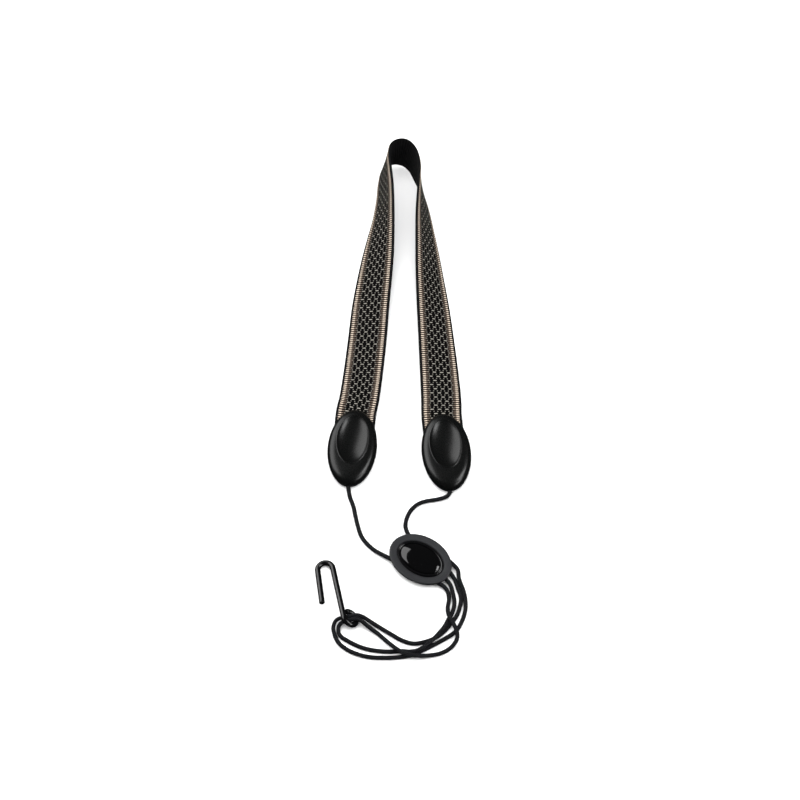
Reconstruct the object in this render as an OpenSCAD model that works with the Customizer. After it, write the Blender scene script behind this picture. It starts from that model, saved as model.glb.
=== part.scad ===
// Neck strap for a saxophone, laid flat for storage.
// A 38 mm webbing band with a woven ribbon on its outer face runs round the
// neck. Each end is clamped in an oval two-shell grip. One round cord runs
// from the left grip, through the oval slider, round the eye of the hook,
// back round the pin in the slider, round the eye again, through the slider
// and up to the right grip. Units are millimetres, +Z is up, +Y points to
// the back of the neck, and the strap lies on the plane z = 0.

/* [Band] */
// Width of the webbing
band_w = 38; // [34:0.5:40]
// Thickness of the webbing
webbing_t = 1.8; // [1.4:0.1:2.0]
// Width of the woven ribbon sewn on the webbing
ribbon_w = 33; // [26:0.5:33]
// Thickness of the woven ribbon
ribbon_t = 0.6; // [0.3:0.1:0.6]

/* [Grips] */
// Length of an oval grip
grip_l = 79; // [76:1:84]
// Width of an oval grip
grip_w = 46; // [44:1:50]
// Height of an oval grip
grip_h = 14.6; // [14:0.2:16]
// Depth of the thumb scoop under the top of the grip
scoop_d = 4.6; // [3:0.2:5]

/* [Slider] */
// Length of the slider
slider_l = 61.4; // [58:0.2:66]
// Width of the slider
slider_w = 45.8; // [44:0.2:50]
// Height of the slider's flange
slider_h = 8.6; // [8:0.2:10]

/* [Hook] */
// Diameter of the coated hook wire
hook_d = 5; // [4:0.2:5.2]
// Length of the hook's free leg
leg_l = 34; // [28:1:36]
// Radius of the hook's bend, at the centre of the wire
bend_r = 7; // [6.5:0.1:7.5]
// Radius of the eye, at the centre of the wire
eye_r = 7; // [7:0.1:7.4]

/* [Cord] */
// Diameter of the round cord
cord_d = 4; // [3:0.1:4]

/* [Hidden] */
$fn = 48;

// moves the lay so that the origin is under the middle of the strap
lay = [5.8, -14.5, 0];

// places of the grips, the slider and the hook: x, y, turn
left_at = [-44.5, -54.3, 84.7];
right_at = [43.1, -58.8, 96];
slider_at = [18.7, -168.9, 146.4];
hook_at = [-51, -228.5, 12];
hook_turn = [-4, 8, 101.4];
eye_lean = -42;

split_z = 5.2;              // parting plane of the grips
band_z = 6.2;               // middle of the webbing inside the grips
cord_z = 4.4;               // middle of the cord inside the slider
scr_r = 1.25;               // screw shank
sewn = 0.15;                // the ribbon stands this far off the webbing

// centre line of the band: x, y, z, and the angle of its width above the table
band_route = [
  [-43.9, -48, 6.2, 0], [-42.5, -32, 6.2, 0], [-41, -16, 6.2, 0], [-38, 0, 6, 4],
  [-34.5, 28, 5.5, 8], [-31, 62, 6.5, 12], [-28, 96, 9, 18], [-24.5, 124, 12, 26],
  [-21.5, 147, 14.5, 34], [-18.6, 170, 17, 45], [-16, 192, 19.5, 56], [-14.6, 214, 22, 64],
  [-14.6, 232, 23.5, 70], [-13.6, 248, 24, 79], [-8, 259.5, 23.2, 92], [3, 261.6, 22.5, 102],
  [12, 254, 21.2, 101], [17, 240, 20.5, 96], [20.2, 222, 20.2, 83], [22, 205, 20, 73],
  [23.5, 186, 19, 64], [26, 158, 17, 54], [28.5, 128, 14.5, 44], [31.5, 96, 12, 34],
  [34.5, 60, 9.2, 25], [37, 26, 7.4, 15], [38.6, 0, 6.4, 6], [39, -20, 6.2, 0],
  [40.4, -36, 6.2, 0], [41.8, -52, 6.2, 0]];

// cord routes, all with round numbers
left_run = [[-48, -94, 5.2], [-46.5, -103, 3.6], [-43, -113, 2.2], [-41, -123, 2.1], [-39, -132, 2.1],
  [-36, -142, 2.1], [-31, -150, 2.1], [-24, -157, 2.3], [-16, -162.5, 3.4], [-9.1, -166.8, 4.4]];
right_run = [[47, -98.5, 5.2], [43, -103, 3.4], [34, -105.5, 2.2], [25, -107, 2.1], [17, -110, 2.1],
  [10.5, -116, 2.1], [6.5, -124, 2.1], [5, -132, 2.4], [6, -138, 3.6], [7.9, -142.8, 4.4]];
outer_route = [[46.2, -170.3, 4.4], [52.6, -178, 4.5], [54, -188, 4.6], [57.8, -198, 2.4], [59.6, -208, 2.1],
  [59.3, -218, 2.1], [56.4, -228, 2.1], [51, -238, 2.1], [42, -245, 2.1], [32, -251, 2.1],
  [21, -257, 2.1], [10, -262, 2.1], [-2, -264, 2.1], [-14, -264.5, 2.1], [-26, -264, 2.1],
  [-37, -261.5, 2.1], [-47, -257, 2.1], [-55, -250.5, 2.1], [-58.9, -243.3, 2.4]];
upper_route = [[45.1, -180.1, 4.4], [49.6, -186.5, 2.8], [52.6, -195, 2.1], [55.5, -205, 2.1], [54.5, -214, 2.1],
  [51.5, -223, 2.1], [46, -231, 2.1], [39.5, -239, 2.1], [32, -245, 2.1], [22, -249, 2.1],
  [12, -250.5, 2.1], [2, -247.5, 2.1], [-8, -241.5, 2.1], [-18, -235, 2.2], [-26, -230.5, 4.4],
  [-33.2, -226.5, 6.8]];
inner_route = [[41.5, -187, 4.4], [46, -193, 3.2], [48.5, -202, 2.1], [49.5, -211, 2.1], [47.5, -220, 2.1],
  [43.5, -228, 3], [40, -236, 6.2], [33, -245, 6.4], [26, -252, 6.4], [18, -258, 6.2],
  [10, -259, 3.6], [2, -258, 2.1], [-10, -258.5, 2.1], [-22, -257.5, 2.1], [-33, -255, 2.1],
  [-43, -250.5, 2.1], [-51.7, -245.2, 2.1]];
lower_route = [[35.8, -191.9, 4.4], [40.4, -194.8, 3.4], [43.8, -200, 2.2], [44.6, -207, 2.1], [43.5, -215, 2.4],
  [44, -223, 6.2], [47.5, -231, 6.4], [51, -239, 6.4], [51.5, -247, 4.4], [46, -254.5, 2.1],
  [37, -260, 2.1], [26, -262.5, 2.6], [15, -264, 6], [4, -262, 6.4], [-4.5, -256.5, 6.2],
  [-12, -248.5, 2.6], [-20, -241, 2.3], [-28, -235.5, 4.6], [-34, -231, 6.8]];
bight_a = [[-34, -226.2, 7], [-38.5, -225.3, 8.6], [-45, -225.8, 7.6], [-52, -226.6, 6], [-58, -229.2, 5.2],
  [-60.5, -235.5, 3.6], [-59.1, -242.7, 2.4]];
bight_b = [[-34.8, -230.6, 7.2], [-39.3, -229.4, 9.6], [-46, -229.9, 7.9], [-52, -230.9, 5.8], [-55.5, -234.5, 3.8],
  [-55.5, -240.5, 2.2], [-52.2, -244.8, 2.1]];

// ---- general functions ----
function cr(a, b, c, d, t) = 0.5 * ((2 * b) + (c - a) * t + (2 * a - 5 * b + 4 * c - d) * t * t + (3 * b - a - 3 * c + d) * t * t * t);
function smooth(p, n) = let (m = len(p)) concat(
  [for (i = [0:m - 2], j = [0:n - 1])
    cr(p[max(i - 1, 0)], p[i], p[i + 1], p[min(i + 2, m - 1)], j / n)], [p[m - 1]]);
function unit(v) = v / norm(v);
function p3(v) = [v[0], v[1], v[2]];
function tangent(p, i) = unit(p3(p[min(i + 1, len(p) - 1)]) - p3(p[max(i - 1, 0)]));

// closed tube through the points of a route
module tube(p, d, sides = 8) {
  m = len(p);
  pts = [for (i = [0:m - 1]) let (
      t = tangent(p, i), s = unit(cross(t, [0, 0, 1])), u = cross(s, t))
    for (k = [0:sides - 1]) p[i] + d / 2 * (cos(360 * (k + 0.5) / sides) * s + sin(360 * (k + 0.5) / sides) * u)];
  faces = concat(
    [[for (k = [0:sides - 1]) k]],
    [for (i = [0:m - 2], k = [0:sides - 1]) let (a = i * sides + k, b = i * sides + (k + 1) % sides)
      each [[a, a + sides, b], [b, a + sides, b + sides]]],
    [[for (k = [sides - 1:-1:0]) (m - 1) * sides + k]]);
  polyhedron(pts, faces, convexity = 10);
}

// flat strip along the band's centre line, from height lo to hi over the
// middle of the webbing, w wide
module strip(w, lo, hi) {
  p = smooth(band_route, 3);
  m = len(p);
  pts = [for (i = [0:m - 1]) let (
      t = tangent(p, i), s = unit(cross(t, [0, 0, 1])), u = cross(s, t),
      a = p[i][3], wd = cos(a) * s + sin(a) * u, n = cross(wd, t), c = p3(p[i]))
    each [c - w / 2 * wd + lo * n, c + w / 2 * wd + lo * n, c + w / 2 * wd + hi * n, c - w / 2 * wd + hi * n]];
  faces = concat(
    [[0, 1, 2], [0, 2, 3]],
    // the upper side is split along the same diagonal as the lower one
    [for (i = [0:m - 2], k = [0:3]) let (a = i * 4 + k, b = i * 4 + (k + 1) % 4)
      each k == 2 ? [[a, a + 4, b + 4], [a, b + 4, b]] : [[a, a + 4, b], [b, a + 4, b + 4]]],
    [[(m - 1) * 4 + 2, (m - 1) * 4 + 1, (m - 1) * 4], [(m - 1) * 4 + 3, (m - 1) * 4 + 2, (m - 1) * 4]]);
  polyhedron(pts, faces, convexity = 10);
}

// outline of an oval: l long, w wide
function ring_of(l, w, n = 60) = [for (i = [0:n - 1]) [l / 2 * cos(360 * i / n), w / 2 * sin(360 * i / n)]];
// straight-sided oval slab from z0 to z1, narrower all round by k
module slab(l, w, z0, z1, k = 0) translate([0, 0, z0]) linear_extrude(z1 - z0) polygon(ring_of(l - 2 * k, w - 2 * k));
// solid of revolution squeezed to an oval: l long, w wide
module oval(prof, l, w) scale([1, w / l, 1]) rotate_extrude($fn = 44) polygon(prof);
module at(p) translate(lay + [p[0], p[1], 0]) rotate([0, 0, p[2]]) children();

// ---- band ----
module strap_webbing() { color([0.07, 0.07, 0.08]) translate(lay) strip(band_w, -webbing_t / 2, webbing_t / 2); }
module strap_ribbon() { color([0.30, 0.25, 0.21]) translate(lay) strip(ribbon_w, webbing_t / 2 + sewn, webbing_t / 2 + sewn + ribbon_t); }

// ---- grips: x runs along the grip towards the band ----
gr = grip_l / 2;
screw_x = -12; screw_y = 11;
function top_prof(k, z0) = let (r = gr - k, h = grip_h - k) [[0, z0], [r - 0.4, z0], [r, 7.4], [r - 0.9, 10 - k / 3],
  [r - 3.4, h - 1.8], [r - 8, h - 0.4], [0, h + 0.1]];
module scoop(g) translate([5.6, 0, grip_h + 1.6]) scale([gr * 0.655 + g, gr * 0.4 + g, scoop_d + 1.6 + g]) sphere(1, $fn = 30);
module grip_top() color([0.09, 0.09, 0.1]) difference() {
  oval(top_prof(0, split_z), grip_l, grip_w);
  scoop(0);
  // hollow between the scoop and the outer wall, behind the band's slot
  difference() {
    slab(grip_l, grip_w, split_z - 1, 9.4, 4.5);
    scoop(1.8);
    for (s = [-1, 1]) translate([screw_x, s * screw_y, 0]) cylinder(r = 3.2, h = 20, $fn = 16);
    translate([4, -30, 0]) cube([60, 60, 20]);
  }
  // room for the webbing, the ribbon and the cord
  translate([5.8, -25, 0]) cube([60, 50, band_z + webbing_t / 2 + sewn + ribbon_t + 0.15]);
  translate([-gr - 1, 0, split_z]) rotate([0, 90, 0]) cylinder(r = cord_d / 2 + 0.3, h = 14, $fn = 16);
  for (s = [-1, 1]) translate([screw_x, s * screw_y, 0]) cylinder(r = scr_r + 0.05, h = 10.2, $fn = 16);
}
module grip_back() color([0.08, 0.08, 0.09]) difference() {
  union() {
    slab(grip_l, grip_w, 0, 0.8, 4);
    slab(grip_l, grip_w, 0.8, 2.2, 2.2);
    slab(grip_l, grip_w, 2.2, split_z - 0.02, 0.6);
  }
  // hollow behind the knot, with bosses round the screws
  difference() {
    slab(grip_l, grip_w, 1.6, 10, 6);
    for (s = [-1, 1]) translate([screw_x, s * screw_y, 0]) cylinder(r = 3.2, h = 20);
    translate([4, -30, 0]) cube([60, 60, 20]);
  }
  translate([8, -17.6, 3]) cube([6, 35.2, 5]);
  translate([-gr - 1, 0, split_z]) rotate([0, 90, 0]) cylinder(r = cord_d / 2 + 0.3, h = 14);
  for (s = [-1, 1]) translate([screw_x, s * screw_y, -1]) {
    cylinder(r = scr_r + 0.25, h = 10);
    cylinder(r = 2.6, h = 2.6);
  }
}
// toothed bar that grips the webbing's end against the top shell
module clamp_bar() color([0.55, 0.56, 0.58]) difference() {
  translate([8.2, -17.4, 3.05]) cube([5.6, 34.8, 2.2]);
  for (k = [0:2]) translate([9 + 1.7 * k, -20, 5]) rotate([0, 45, 0]) cube([0.6, 40, 0.6]);
}
module grip_screws() color([0.5, 0.5, 0.52]) for (s = [-1, 1]) translate([screw_x, s * screw_y, 0.3]) difference() {
  union() { cylinder(r = scr_r, h = 9.4); cylinder(r = 2.4, h = 1.25); }
  translate([0, 0, -0.1]) linear_extrude(0.8) square([0.5, 3.4], center = true);
  translate([0, 0, -0.1]) linear_extrude(0.8) square([3.4, 0.5], center = true);
}
// overhand knot drawn up tight: a fat ring with the cord's end through it
module cord_knot() color([0.1, 0.1, 0.11]) translate([-gr + 17.4, 0, split_z]) rotate([0, 90, 0]) union() {
  rotate_extrude() translate([1.9, 0]) circle(r = 1.75);
  cylinder(r = 1.9, h = 4.4);
  translate([0, 0, -4.2]) cylinder(r = 1.9, h = 4.4);
}
module left_grip_top() at(left_at) grip_top();
module left_grip_back() at(left_at) grip_back();
module left_clamp_bar() at(left_at) clamp_bar();
module left_grip_screws() at(left_at) grip_screws();
module left_cord_knot() at(left_at) cord_knot();
module right_grip_top() at(right_at) grip_top();
module right_grip_back() at(right_at) grip_back();
module right_clamp_bar() at(right_at) clamp_bar();
module right_grip_screws() at(right_at) grip_screws();
module right_cord_knot() at(right_at) cord_knot();

// ---- slider: x runs along the slider towards the grips ----
sr = slider_l / 2;
pin_x = -17; pin_y = -2; bight_r = 3.8;
sscr = [[12, -1], [-4, -1]];
module cord_lanes(n = 48) {
  // left pass, right pass and the pocket round the pin
  translate([0, 11.76, cord_z]) rotate([0, 0, 4.36]) rotate([0, 90, 0]) cylinder(r = 2.6, h = 80, center = true, $fn = n);
  translate([-40, -14, cord_z]) rotate([0, 90, 0]) cylinder(r = 2.8, h = 80, $fn = n);
  for (s = [-1, 1]) translate([-40, pin_y + s * bight_r, cord_z]) rotate([0, 90, 0]) cylinder(r = 2.3, h = 40 + pin_x, $fn = n);
  translate([pin_x, pin_y, cord_z - 2.2]) cylinder(r = 6.2, h = 4.4, $fn = n);
}
module slider_cover() color([0.12, 0.12, 0.13]) at(slider_at) difference() {
  union() {
    slab(slider_l, slider_w, cord_z, 6, 1.4);
    slab(slider_l, slider_w, 6, slider_h - 0.4);
    slab(slider_l, slider_w, slider_h - 0.4, slider_h, 0.5);
  }
  // seat of the ring and the badge
  slab(46.2, 30.8, 7.1, 12);
  cord_lanes();
  translate([pin_x, pin_y, 4]) cylinder(r = 1.62, h = 2.6);
  for (p = sscr) translate([p[0], p[1], 4]) cylinder(r = scr_r + 0.05, h = 2.4);
}
module slider_base() color([0.1, 0.1, 0.11]) at(slider_at) difference() {
  union() {
    slab(slider_l, slider_w, 0, 0.8, 3.4);
    slab(slider_l, slider_w, 0.8, cord_z - 0.02, 1.6);
  }
  cord_lanes();
  translate([pin_x, pin_y, 1]) cylinder(r = 1.62, h = 10);
  for (p = sscr) translate([p[0], p[1], -1]) { cylinder(r = scr_r + 0.25, h = 10); cylinder(r = 2.6, h = 2.4); }
}
module slider_ring() color([0.05, 0.05, 0.06]) at(slider_at) difference() {
  union() { slab(45.6, 30.2, 7.12, 8.9); slab(44.4, 29, 8.9, 9.3); }
  slab(41.2, 26.2, 6, 12);
}
module slider_badge() color([0.02, 0.02, 0.03]) at(slider_at)
  translate([0, 0, 7.12]) scale([1, 0.63, 1]) rotate_extrude($fn = 44)
    polygon([[0, 0], [19.9, 0], [20.2, 0.6], [20, 1.6], [18, 2.8], [14, 3.7], [8, 4.3], [0, 4.5]]);
module slider_pin() color([0.7, 0.7, 0.72]) at(slider_at) translate([pin_x, pin_y, 1.05]) cylinder(r = 1.6, h = 5.4);
module slider_screws() color([0.5, 0.5, 0.52]) at(slider_at) for (p = sscr) translate([p[0], p[1], 0.3]) difference() {
  union() { cylinder(r = scr_r, h = 6); cylinder(r = 2.4, h = 1); }
  translate([0, 0, -0.1]) linear_extrude(0.6) square([0.5, 3.4], center = true);
  translate([0, 0, -0.1]) linear_extrude(0.6) square([3.4, 0.5], center = true);
}

// ---- hook: x runs up the shank from the eye ----
shank_l = 54;
leg_out = 4;                // angle at which the free leg spreads from the shank
eye_sweep = 282;            // the eye stops just short of the shank
// steel wire with a dipped plastic coat: shank, bend, free leg and closed eye
module hook() color([0.04, 0.04, 0.045]) translate(lay + hook_at) rotate(hook_turn) {
  r = hook_d / 2;
  rotate([0, 90, 0]) cylinder(r = r, h = shank_l);
  translate([shank_l, bend_r, 0]) rotate([0, 0, -90]) rotate_extrude(angle = 180) translate([bend_r, 0]) circle(r = r);
  translate([shank_l, 2 * bend_r, 0]) {
    sphere(r = r);
    rotate([0, 0, 90 - leg_out]) rotate([-90, 0, 0]) {
      cylinder(r = r, h = leg_l);
      translate([0, 0, leg_l]) cylinder(r1 = r, r2 = r - 1, h = 1);
    }
  }
  // the eye leans down to the right of the shank and is drawn a little thinner
  rotate([-eye_lean, 0, 0]) translate([0, -eye_r, 0]) rotate([0, 0, 87])
    rotate_extrude(angle = eye_sweep + 3) translate([eye_r, 0]) circle(r = r - 0.05);
}

// ---- cord ----
module cord_piece(p, d = cord_d) color([0.11, 0.11, 0.12]) translate(lay) tube(p, d);
module left_cord_run() cord_piece(left_run);
module right_cord_run() cord_piece(right_run);
module left_cord_pass() color([0.11, 0.11, 0.12]) at(slider_at) tube([[23.9, 13.58, cord_z], [8, 12.37, cord_z], [-8, 11.15, cord_z], [-26.6, 9.73, cord_z]], cord_d);
module right_cord_pass() color([0.11, 0.11, 0.12]) at(slider_at) tube([[23.2, -14, cord_z], [8, -14, cord_z], [-8, -14, cord_z], [-23.2, -14, cord_z]], cord_d);
module slider_bight() color([0.11, 0.11, 0.12]) at(slider_at) tube(concat([[-27.5, pin_y - bight_r, cord_z]],
  [for (a = [-90:30:90]) [pin_x + bight_r * cos(a), pin_y + bight_r * sin(a), cord_z]],
  [[-27.5, pin_y + bight_r, cord_z]]), cord_d);
module strand_outer() cord_piece(outer_route);
module strand_upper() cord_piece(upper_route);
module strand_inner() cord_piece(inner_route);
module strand_lower() cord_piece(lower_route);
// the two turns are squeezed a little where they share the eye
module hook_bights() { cord_piece(bight_a, cord_d - 0.2); cord_piece(bight_b, cord_d - 0.2); }

strap_webbing();
strap_ribbon();
left_grip_top();
left_grip_back();
left_clamp_bar();
left_grip_screws();
left_cord_knot();
right_grip_top();
right_grip_back();
right_clamp_bar();
right_grip_screws();
right_cord_knot();
slider_cover();
slider_base();
slider_ring();
slider_badge();
slider_pin();
slider_screws();
hook();
left_cord_run();
right_cord_run();
left_cord_pass();
right_cord_pass();
slider_bight();
strand_outer();
strand_upper();
strand_inner();
strand_lower();
hook_bights();
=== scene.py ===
import math

import bpy
import numpy as np
from mathutils import Matrix, Vector


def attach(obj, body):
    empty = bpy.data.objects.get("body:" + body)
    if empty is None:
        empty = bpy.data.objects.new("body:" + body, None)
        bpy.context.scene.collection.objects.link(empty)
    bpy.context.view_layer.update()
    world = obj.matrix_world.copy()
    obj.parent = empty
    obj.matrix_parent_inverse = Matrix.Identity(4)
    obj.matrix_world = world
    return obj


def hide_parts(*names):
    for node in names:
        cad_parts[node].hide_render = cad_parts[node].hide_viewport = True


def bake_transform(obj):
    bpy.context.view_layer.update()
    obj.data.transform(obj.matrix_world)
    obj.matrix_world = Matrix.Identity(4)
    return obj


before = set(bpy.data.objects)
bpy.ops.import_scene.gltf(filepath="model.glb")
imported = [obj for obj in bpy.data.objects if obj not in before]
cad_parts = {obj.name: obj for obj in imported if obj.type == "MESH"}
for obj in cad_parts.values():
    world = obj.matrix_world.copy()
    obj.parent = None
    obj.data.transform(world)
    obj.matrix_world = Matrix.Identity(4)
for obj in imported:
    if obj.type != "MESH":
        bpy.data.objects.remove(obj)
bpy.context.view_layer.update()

MM = 0.001
LAY = np.array([5.8, -14.5, 0.0])  # the same shift as the CAD's, in mm

# ---------------------------------------------------------------- camera
scene = bpy.context.scene
cam_data = bpy.data.cameras.new("camera")
cam = bpy.data.objects.new("camera", cam_data)
scene.collection.objects.link(cam)
cam_data.sensor_width = 36.0
cam_data.lens = 143.31
cam_data.clip_start, cam_data.clip_end = 0.05, 50.0
cam.location = Vector(LAY * MM) + Vector((0.0, -1.40841, 2.64884))
cam.rotation_euler = (math.radians(28), 0.0, 0.0)
scene.camera = cam
scene.view_settings.view_transform = "Standard"
scene.view_settings.look = "None"
scene.view_settings.exposure = 0.0
scene.view_settings.gamma = 1.0


# ---------------------------------------------------------------- node helpers
class Tree:
    """A material's node tree with short names for maths."""

    def __init__(self, name):
        self.mat = bpy.data.materials.new(name)
        self.mat.use_nodes = True
        self.t = self.mat.node_tree
        self.t.nodes.clear()
        self.out = self.t.nodes.new("ShaderNodeOutputMaterial")
        self.bsdf = self.t.nodes.new("ShaderNodeBsdfPrincipled")
        self.t.links.new(self.bsdf.outputs[0], self.out.inputs["Surface"])

    def put(self, socket, value):
        if isinstance(value, bpy.types.NodeSocket):
            self.t.links.new(value, socket)
        elif isinstance(value, (tuple, list)) and len(value) == 3 and len(socket.default_value) == 4:
            socket.default_value = (*value, 1.0)
        else:
            socket.default_value = value

    def m(self, op, a, b=0.0, c=0.0, clamp=False):
        n = self.t.nodes.new("ShaderNodeMath")
        n.operation = op
        n.use_clamp = clamp
        for i, v in enumerate((a, b, c)):
            if i < len(n.inputs):
                self.put(n.inputs[i], v)
        return n.outputs[0]

    def ramp(self, v, lo, hi, to_lo=0.0, to_hi=1.0):
        """Smooth step of v from lo to hi."""
        n = self.t.nodes.new("ShaderNodeMapRange")
        n.interpolation_type = "SMOOTHSTEP"
        self.put(n.inputs["Value"], v)
        for k, x in (("From Min", lo), ("From Max", hi), ("To Min", to_lo), ("To Max", to_hi)):
            self.put(n.inputs[k], x)
        return n.outputs["Result"]

    def mix(self, fac, a, b, kind="RGBA", blend="MIX"):
        n = self.t.nodes.new("ShaderNodeMix")
        n.data_type = kind
        if kind == "RGBA":
            n.blend_type = blend
            i = (0, 6, 7)
            o = 2
        else:
            i = (0, 2, 3)
            o = 0
        self.put(n.inputs[i[0]], fac)
        self.put(n.inputs[i[1]], a)
        self.put(n.inputs[i[2]], b)
        return n.outputs[o]

    def noise(self, scale, detail=3.0, rough=0.5, vector=None, dim="3D"):
        n = self.t.nodes.new("ShaderNodeTexNoise")
        n.noise_dimensions = dim
        self.put(n.inputs["Scale"], scale)
        self.put(n.inputs["Detail"], detail)
        self.put(n.inputs["Roughness"], rough)
        if vector is not None:
            self.put(n.inputs["Vector"], vector)
        return n.outputs[0]

    def where(self):
        return self.t.nodes.new("ShaderNodeTexCoord").outputs["Object"]

    def uv(self):
        n = self.t.nodes.new("ShaderNodeUVMap")
        n.uv_map = "UVMap"
        s = self.t.nodes.new("ShaderNodeSeparateXYZ")
        self.t.links.new(n.outputs[0], s.inputs[0])
        return s.outputs[0], s.outputs[1]

    def vec(self, x, y, z=0.0):
        n = self.t.nodes.new("ShaderNodeCombineXYZ")
        for i, v in enumerate((x, y, z)):
            self.put(n.inputs[i], v)
        return n.outputs[0]

    def bump(self, height, strength, distance):
        n = self.t.nodes.new("ShaderNodeBump")
        self.put(n.inputs["Height"], height)
        self.put(n.inputs["Strength"], strength)
        self.put(n.inputs["Distance"], distance)
        self.t.links.new(n.outputs[0], self.bsdf.inputs["Normal"])

    def set(self, **values):
        for k, v in values.items():
            self.put(self.bsdf.inputs[k.replace("_", " ")], v)


# ---------------------------------------------------------------- mesh helpers
def make(name, verts_mm, faces, uv=None, smooth=True):
    """A mesh object from points in mm in the row frame. uv is one pair for each vertex."""
    me = bpy.data.meshes.new(name)
    v = np.asarray(verts_mm, float) * MM
    me.from_pydata(v.tolist(), [], [tuple(int(i) for i in f) for f in faces])
    if uv is not None:
        layer = me.uv_layers.new(name="UVMap")
        idx = np.zeros(len(me.loops), np.int32)
        me.loops.foreach_get("vertex_index", idx)
        layer.data.foreach_set("uv", np.asarray(uv, np.float32)[idx].ravel())
    me.polygons.foreach_set("use_smooth", [smooth] * len(me.polygons))
    me.update()
    o = bpy.data.objects.new(name, me)
    scene.collection.objects.link(o)
    return o


def loft_faces(rings, n, start=0):
    """Quads between rings of n points that close on themselves."""
    f = []
    for i in range(rings - 1):
        for k in range(n):
            a, b = start + i * n + k, start + i * n + (k + 1) % n
            f.append((a, b, b + n, a + n))
    return f


def crom(p, n):
    """Catmull-Rom through rows of p, n steps to each."""
    p = np.asarray(p, float)
    m = len(p)
    out = []
    for i in range(m - 1):
        a, b, c, d = p[max(i - 1, 0)], p[i], p[i + 1], p[min(i + 2, m - 1)]
        for j in range(n):
            t = j / n
            out.append(0.5 * (2 * b + (c - a) * t + (2 * a - 5 * b + 4 * c - d) * t * t + (3 * b - a - 3 * c + d) * t**3))
    out.append(p[-1])
    return np.array(out)


def along(p):
    return np.concatenate([[0], np.cumsum(np.linalg.norm(np.diff(p[:, :3], axis=0), axis=1))])


def even(p, step):
    s = along(p)
    n = max(4, int(round(s[-1] / step)) + 1)
    at = np.linspace(0, s[-1], n)
    return np.stack([np.interp(at, s, p[:, k]) for k in range(p.shape[1])], 1), at


def tangents(p):
    t = np.gradient(p[:, :3], axis=0)
    return t / np.linalg.norm(t, axis=1)[:, None]


def rot(deg, axis):
    return np.array(Matrix.Rotation(math.radians(deg), 3, axis))


def at(place, pts):
    """Points of a local frame (mm) put on the table at place = (x, y, turn)."""
    pts = np.asarray(pts, float)
    return pts @ rot(place[2], "Z").T + LAY + np.array([place[0], place[1], 0.0])


def finish_piece(o, body=None, replaces=(), mat=None):
    if mat is not None:
        o.data.materials.clear()
        o.data.materials.append(mat)
    if body:
        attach(o, body)
    if replaces:
        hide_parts(*replaces)
    return o


# ---------------------------------------------------------------- materials
def cord_material():
    t = Tree("cord_braid")
    u, v = t.uv()  # u: strands round the cord, v: picks along it
    # diamonds of the braid, one row shifted half against the next
    cu = t.m("COSINE", t.m("MULTIPLY", u, 2 * math.pi))
    cv = t.m("COSINE", t.m("MULTIPLY", v, 2 * math.pi))
    h = t.m("MULTIPLY_ADD", t.m("MULTIPLY", cu, cv), 0.5, 0.5)
    # filaments in a slant across each diamond
    fil = t.m("SINE", t.m("MULTIPLY", t.m("ADD", t.m("MULTIPLY", u, 3.0), t.m("MULTIPLY", v, 1.5)), 2 * math.pi))
    n = t.noise(900, 3, 0.6, t.where())
    # the colour follows the braid's relief: near black in the hollows between the diamonds as painted shade, and
    # lighter specks on their crests as painted sheen
    fac = t.m("MULTIPLY", t.ramp(h, 0.60, 0.98), t.m("MULTIPLY_ADD", n, 1.5, 0.05), clamp=True)
    fac = t.m("MULTIPLY", fac, t.m("MULTIPLY_ADD", fil, 0.18, 0.82), clamp=True)
    col = t.mix(fac, (0.0004, 0.0004, 0.0006), (0.040, 0.0415, 0.048))
    t.set(Base_Color=col, Roughness=t.m("MULTIPLY_ADD", n, 0.2, 0.55), Sheen_Weight=0.015, Sheen_Roughness=0.4)
    t.set(Specular_IOR_Level=0.16)
    t.bump(t.m("ADD", t.m("MULTIPLY", h, 0.6), t.m("MULTIPLY", fil, 0.1)), 0.7, 0.00025)
    return t.mat


def webbing_material():
    t = Tree("webbing_black")
    u, v = t.uv()  # both in units of 100 mm
    x, y = t.m("MULTIPLY", u, 100.0), t.m("MULTIPLY", v, 100.0)
    rib = t.m("SINE", t.m("MULTIPLY", t.m("FRACT", t.m("DIVIDE", y, 2.16)), math.pi))
    warp = t.m("MULTIPLY_ADD", t.m("SINE", t.m("MULTIPLY", t.m("ADD", x, t.m("MULTIPLY", t.m("FLOOR", t.m("DIVIDE", y, 2.16)), 0.35)), 2 * math.pi / 0.7)), 0.5, 0.5)
    n = t.noise(700, 3, 0.6, t.where())
    # the colour follows the ribs and threads: painted shade in the grooves between them, and lighter crests as painted
    # sheen
    fac = t.m("MULTIPLY", t.m("MULTIPLY", rib, t.m("MULTIPLY_ADD", warp, 0.5, 0.5)), t.m("MULTIPLY_ADD", n, 1.0, 0.2), clamp=True)
    col = t.mix(fac, (0.0008, 0.0008, 0.001), (0.0085, 0.0082, 0.0086))
    t.set(Base_Color=col, Roughness=t.m("MULTIPLY_ADD", n, 0.2, 0.7), Sheen_Weight=0.01, Sheen_Roughness=0.5)
    t.set(Specular_IOR_Level=0.1)
    t.bump(fac, 0.6, 0.0003)
    return t.mat


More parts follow.
